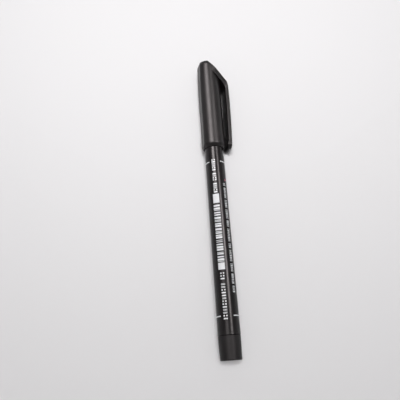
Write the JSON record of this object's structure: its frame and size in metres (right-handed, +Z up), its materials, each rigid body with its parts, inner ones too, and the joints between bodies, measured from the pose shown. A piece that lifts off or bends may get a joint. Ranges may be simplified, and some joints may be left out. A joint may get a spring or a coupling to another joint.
{
  "type": "felt tip marker",
  "caption": "Slim round felt tip marker: tapered barrel, end plug, fibre nib in a tip holder, ink reservoir, and a push-on cap with a sprung clip.",
  "frame": {"origin": "centre of the end plug's flat end, on the pen's axis", "axes": "+Y along the pen's axis towards the cap's closed end; +Z up with the pen lying on its side; the clip points along +X, 14 degrees below horizontal"},
  "size_m": [0.0149, 0.1372, 0.0113],
  "materials": {
    "barrel": "polished black moulding with fine white printing",
    "end_plug": "fine matt texture",
    "nose_section": "satin",
    "nib": "ink-stained bonded fibre",
    "ink_reservoir": "ink-soaked fibre bundle",
    "reservoir_sleeve": "thin clear film",
    "cap": "satin charcoal moulding",
    "inner_cap": "natural moulding"
  },
  "bodies": {
    "pen": {"barrel": "barrel", "end_plug": "end_plug", "nose_section": "nose_section", "nib": "nib", "ink_reservoir": "ink_reservoir", "reservoir_sleeve": "reservoir_sleeve"},
    "cap": {"cap_shell": "cap", "inner_cap": "inner_cap"},
    "clip": {"clip": "cap"}
  },
  "joints": [
    {"name": "cap_pull", "type": "slide", "parent": "pen", "child": "cap", "axis": [0, 1, 0], "range_m": [0, 0.045]},
    {"name": "clip_flex", "type": "hinge", "parent": "cap", "child": "clip", "pos_m": [0.00773, 0.12445, -0.00193], "axis": [0.2419, 0, 0.9703], "range_deg": [0, 5], "stiffness_Nm_per_rad": 1.4}
  ]
}
